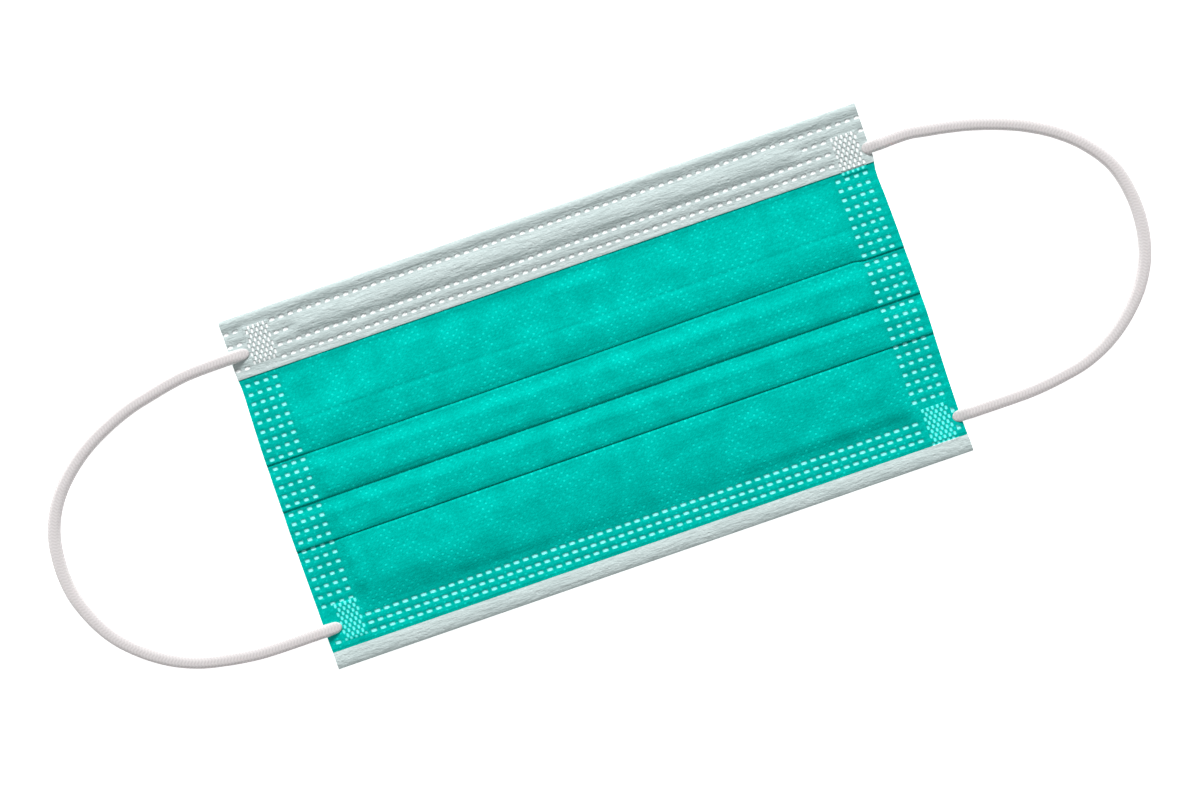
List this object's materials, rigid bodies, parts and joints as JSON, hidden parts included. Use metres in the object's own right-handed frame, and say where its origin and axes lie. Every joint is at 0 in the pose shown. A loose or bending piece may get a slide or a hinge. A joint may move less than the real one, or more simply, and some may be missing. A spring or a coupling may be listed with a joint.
{
  "type": "pleated disposable face mask",
  "caption": "Flat rectangular face mask of pleated nonwoven cloth, with white hems, a nose wire and round elastic ear loops.",
  "frame": {"origin": "middle of the underside, on the surface that the mask lies on", "axes": "+X along the mask's width, +Y towards the nose edge, +Z out of the outer face"},
  "size_m": [0.2975, 0.0956, 0.0057],
  "materials": {
    "outer_cloth": "matt green spunbond nonwoven with fine embossed dots",
    "inner_cloth": "matt white spunbond nonwoven",
    "nose_wire": "white plastic coating over soft wire",
    "fused_elastic": "elastic melted flat into the cloth, embossed with a diamond grid",
    "elastic": "white round knitted elastic"
  },
  "bodies": {
    "root": {"face_panel": "outer_cloth", "top_hem": "inner_cloth", "bottom_hem": "inner_cloth", "nose_wire": "nose_wire", "loop_weld_top_left": "fused_elastic", "loop_weld_top_right": "fused_elastic", "loop_weld_bottom_left": "fused_elastic", "loop_weld_bottom_right": "fused_elastic", "ear_loop_left": "elastic", "ear_loop_right": "elastic"}
  },
  "joints": []
}
